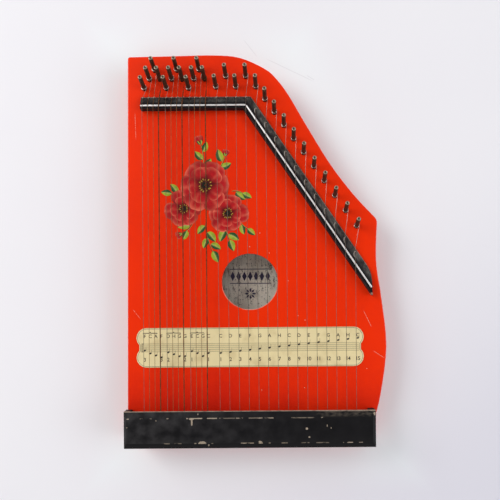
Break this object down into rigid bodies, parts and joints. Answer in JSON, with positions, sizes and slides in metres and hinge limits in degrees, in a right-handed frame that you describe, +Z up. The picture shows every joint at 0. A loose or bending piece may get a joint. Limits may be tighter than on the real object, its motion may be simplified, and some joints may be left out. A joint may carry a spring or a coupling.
{
  "type": "chord zither",
  "caption": "Flat lacquered zither box with chord and melody strings over a bent top bridge, leaning tuning pins, a round soundhole and a lift-off cover over the hitch pins.",
  "frame": {"origin": "middle of the bounding box, on the face that the back rests on", "axes": "+X towards the treble side, +Y towards the head with the tuning pins, +Z up through the soundboard"},
  "size_m": [0.3128, 0.4686, 0.06],
  "materials": {
    "red_lacquer": "worn glossy red lacquer",
    "bare_wood": "plain planed wood",
    "black_paint": "worn black paint",
    "nickel": "nickelled rod",
    "pin_steel": "browned steel",
    "string_steel": "drawn wire",
    "wound_wire": "tarnished winding",
    "note_card": "aged matt card"
  },
  "bodies": {
    "zither_body": {"back_board": "red_lacquer", "bass_side": "red_lacquer", "treble_side": "red_lacquer", "pin_block": "red_lacquer", "tail_block": "red_lacquer", "soundboard": "red_lacquer", "brace_upper": "bare_wood", "brace_lower": "bare_wood", "top_bridge": "black_paint", "tail_bridge": "bare_wood", "tail_rod": "nickel", "sloping_rod": "nickel", "chord_strings": "nickel", "bass_string_1": "wound_wire", "bass_string_2": "wound_wire", "bass_string_3": "wound_wire", "note_strip": "note_card", "melody_string_01": "string_steel", "melody_string_02": "string_steel", "melody_string_03": "string_steel", "melody_string_04": "string_steel", "melody_string_05": "string_steel", "melody_string_06": "string_steel", "melody_string_07": "string_steel", "melody_string_08": "string_steel", "melody_string_09": "string_steel", "melody_string_10": "string_steel", "melody_string_11": "string_steel", "melody_string_12": "string_steel", "melody_string_13": "string_steel", "melody_string_14": "string_steel", "melody_string_15": "string_steel"},
    "hitch_pin_cover": {"hitch_pin_cover": "black_paint"},
    "tuning_pin_01": {"tuning_pin_01": "pin_steel"},
    "tuning_pin_02": {"tuning_pin_02": "pin_steel"},
    "tuning_pin_03": {"tuning_pin_03": "pin_steel"},
    "tuning_pin_04": {"tuning_pin_04": "pin_steel"},
    "tuning_pin_05": {"tuning_pin_05": "pin_steel"},
    "tuning_pin_06": {"tuning_pin_06": "pin_steel"},
    "tuning_pin_07": {"tuning_pin_07": "pin_steel"},
    "tuning_pin_08": {"tuning_pin_08": "pin_steel"},
    "tuning_pin_09": {"tuning_pin_09": "pin_steel"},
    "tuning_pin_10": {"tuning_pin_10": "pin_steel"},
    "tuning_pin_11": {"tuning_pin_11": "pin_steel"},
    "tuning_pin_12": {"tuning_pin_12": "pin_steel"},
    "tuning_pin_13": {"tuning_pin_13": "pin_steel"},
    "tuning_pin_14": {"tuning_pin_14": "pin_steel"},
    "tuning_pin_15": {"tuning_pin_15": "pin_steel"},
    "tuning_pin_16": {"tuning_pin_16": "pin_steel"},
    "tuning_pin_17": {"tuning_pin_17": "pin_steel"},
    "tuning_pin_18": {"tuning_pin_18": "pin_steel"},
    "tuning_pin_19": {"tuning_pin_19": "pin_steel"},
    "tuning_pin_20": {"tuning_pin_20": "pin_steel"},
    "tuning_pin_21": {"tuning_pin_21": "pin_steel"},
    "tuning_pin_22": {"tuning_pin_22": "pin_steel"},
    "tuning_pin_23": {"tuning_pin_23": "pin_steel"},
    "tuning_pin_24": {"tuning_pin_24": "pin_steel"},
    "tuning_pin_25": {"tuning_pin_25": "pin_steel"},
    "tuning_pin_26": {"tuning_pin_26": "pin_steel"},
    "tuning_pin_27": {"tuning_pin_27": "pin_steel"}
  },
  "joints": [
    {"name": "cover_lift", "type": "slide", "parent": "zither_body", "child": "hitch_pin_cover", "axis": [0, 0, 1], "range_m": [0, 0.03]},
    {"name": "tuning_pin_01_turn", "type": "hinge", "parent": "zither_body", "child": "tuning_pin_01", "pos_m": [-0.13175, 0.194, 0.038], "axis": [-0.0474, 0.2416, 0.9692], "range_deg": [-720, 90]},
    {"name": "tuning_pin_02_turn", "type": "hinge", "parent": "zither_body", "child": "tuning_pin_02", "pos_m": [-0.12546, 0.205, 0.038], "axis": [-0.0474, 0.2416, 0.9692], "range_deg": [-720, 90]},
    {"name": "tuning_pin_03_turn", "type": "hinge", "parent": "zither_body", "child": "tuning_pin_03", "pos_m": [-0.11917, 0.216, 0.038], "axis": [-0.0474, 0.2416, 0.9692], "range_deg": [-720, 90]},
    {"name": "tuning_pin_04_turn", "type": "hinge", "parent": "zither_body", "child": "tuning_pin_04", "pos_m": [-0.11289, 0.205, 0.038], "axis": [-0.0474, 0.2416, 0.9692], "range_deg": [-720, 90]},
    {"name": "tuning_pin_05_turn", "type": "hinge", "parent": "zither_body", "child": "tuning_pin_05", "pos_m": [-0.10516, 0.194, 0.038], "axis": [-0.0474, 0.2416, 0.9692], "range_deg": [-720, 90]},
    {"name": "tuning_pin_06_turn", "type": "hinge", "parent": "zither_body", "child": "tuning_pin_06", "pos_m": [-0.09887, 0.205, 0.038], "axis": [-0.0474, 0.2416, 0.9692], "range_deg": [-720, 90]},
    {"name": "tuning_pin_07_turn", "type": "hinge", "parent": "zither_body", "child": "tuning_pin_07", "pos_m": [-0.09258, 0.216, 0.038], "axis": [-0.0474, 0.2416, 0.9692], "range_deg": [-720, 90]},
    {"name": "tuning_pin_08_turn", "type": "hinge", "parent": "zither_body", "child": "tuning_pin_08", "pos_m": [-0.08629, 0.205, 0.038], "axis": [-0.0474, 0.2416, 0.9692], "range_deg": [-720, 90]},
    {"name": "tuning_pin_09_turn", "type": "hinge", "parent": "zither_body", "child": "tuning_pin_09", "pos_m": [-0.07857, 0.194, 0.038], "axis": [-0.0474, 0.2416, 0.9692], "range_deg": [-720, 90]},
    {"name": "tuning_pin_10_turn", "type": "hinge", "parent": "zither_body", "child": "tuning_pin_10", "pos_m": [-0.07228, 0.205, 0.038], "axis": [-0.0474, 0.2416, 0.9692], "range_deg": [-720, 90]},
    {"name": "tuning_pin_11_turn", "type": "hinge", "parent": "zither_body", "child": "tuning_pin_11", "pos_m": [-0.06599, 0.216, 0.038], "axis": [-0.0474, 0.2416, 0.9692], "range_deg": [-720, 90]},
    {"name": "tuning_pin_12_turn", "type": "hinge", "parent": "zither_body", "child": "tuning_pin_12", "pos_m": [-0.0597, 0.205, 0.038], "axis": [-0.0474, 0.2416, 0.9692], "range_deg": [-720, 90]},
    {"name": "tuning_pin_13_turn", "type": "hinge", "parent": "zither_body", "child": "tuning_pin_13", "pos_m": [-0.046, 0.1952, 0.038], "axis": [-0.0474, 0.2416, 0.9692], "range_deg": [-720, 90]},
    {"name": "tuning_pin_14_turn", "type": "hinge", "parent": "zither_body", "child": "tuning_pin_14", "pos_m": [-0.03405, 0.2077, 0.038], "axis": [-0.0474, 0.2416, 0.9692], "range_deg": [-720, 90]},
    {"name": "tuning_pin_15_turn", "type": "hinge", "parent": "zither_body", "child": "tuning_pin_15", "pos_m": [-0.0221, 0.1952, 0.038], "axis": [-0.0474, 0.2416, 0.9692], "range_deg": [-720, 90]},
    {"name": "tuning_pin_16_turn", "type": "hinge", "parent": "zither_body", "child": "tuning_pin_16", "pos_m": [-0.01015, 0.2077, 0.038], "axis": [-0.0474, 0.2416, 0.9692], "range_deg": [-720, 90]},
    {"name": "tuning_pin_17_turn", "type": "hinge", "parent": "zither_body", "child": "tuning_pin_17", "pos_m": [0.0018, 0.19509, 0.038], "axis": [-0.0474, 0.2416, 0.9692], "range_deg": [-720, 90]},
    {"name": "tuning_pin_18_turn", "type": "hinge", "parent": "zither_body", "child": "tuning_pin_18", "pos_m": [0.01263, 0.17998, 0.038], "axis": [-0.0474, 0.2416, 0.9692], "range_deg": [-720, 90]},
    {"name": "tuning_pin_19_turn", "type": "hinge", "parent": "zither_body", "child": "tuning_pin_19", "pos_m": [0.0237, 0.16451, 0.038], "axis": [-0.0474, 0.2416, 0.9692], "range_deg": [-720, 90]},
    {"name": "tuning_pin_20_turn", "type": "hinge", "parent": "zither_body", "child": "tuning_pin_20", "pos_m": [0.03503, 0.14867, 0.038], "axis": [-0.0474, 0.2416, 0.9692], "range_deg": [-720, 90]},
    {"name": "tuning_pin_21_turn", "type": "hinge", "parent": "zither_body", "child": "tuning_pin_21", "pos_m": [0.0466, 0.13247, 0.038], "axis": [-0.0474, 0.2416, 0.9692], "range_deg": [-720, 90]},
    {"name": "tuning_pin_22_turn", "type": "hinge", "parent": "zither_body", "child": "tuning_pin_22", "pos_m": [0.05842, 0.11589, 0.038], "axis": [-0.0474, 0.2416, 0.9692], "range_deg": [-720, 90]},
    {"name": "tuning_pin_23_turn", "type": "hinge", "parent": "zither_body", "child": "tuning_pin_23", "pos_m": [0.0705, 0.09895, 0.038], "axis": [-0.0474, 0.2416, 0.9692], "range_deg": [-720, 90]},
    {"name": "tuning_pin_24_turn", "type": "hinge", "parent": "zither_body", "child": "tuning_pin_24", "pos_m": [0.08282, 0.08163, 0.038], "axis": [-0.0474, 0.2416, 0.9692], "range_deg": [-720, 90]},
    {"name": "tuning_pin_25_turn", "type": "hinge", "parent": "zither_body", "child": "tuning_pin_25", "pos_m": [0.0954, 0.06395, 0.038], "axis": [-0.0474, 0.2416, 0.9692], "range_deg": [-720, 90]},
    {"name": "tuning_pin_26_turn", "type": "hinge", "parent": "zither_body", "child": "tuning_pin_26", "pos_m": [0.10823, 0.0459, 0.038], "axis": [-0.0474, 0.2416, 0.9692], "range_deg": [-720, 90]},
    {"name": "tuning_pin_27_turn", "type": "hinge", "parent": "zither_body", "child": "tuning_pin_27", "pos_m": [0.1213, 0.02748, 0.038], "axis": [-0.0474, 0.2416, 0.9692], "range_deg": [-720, 90]}
  ]
}
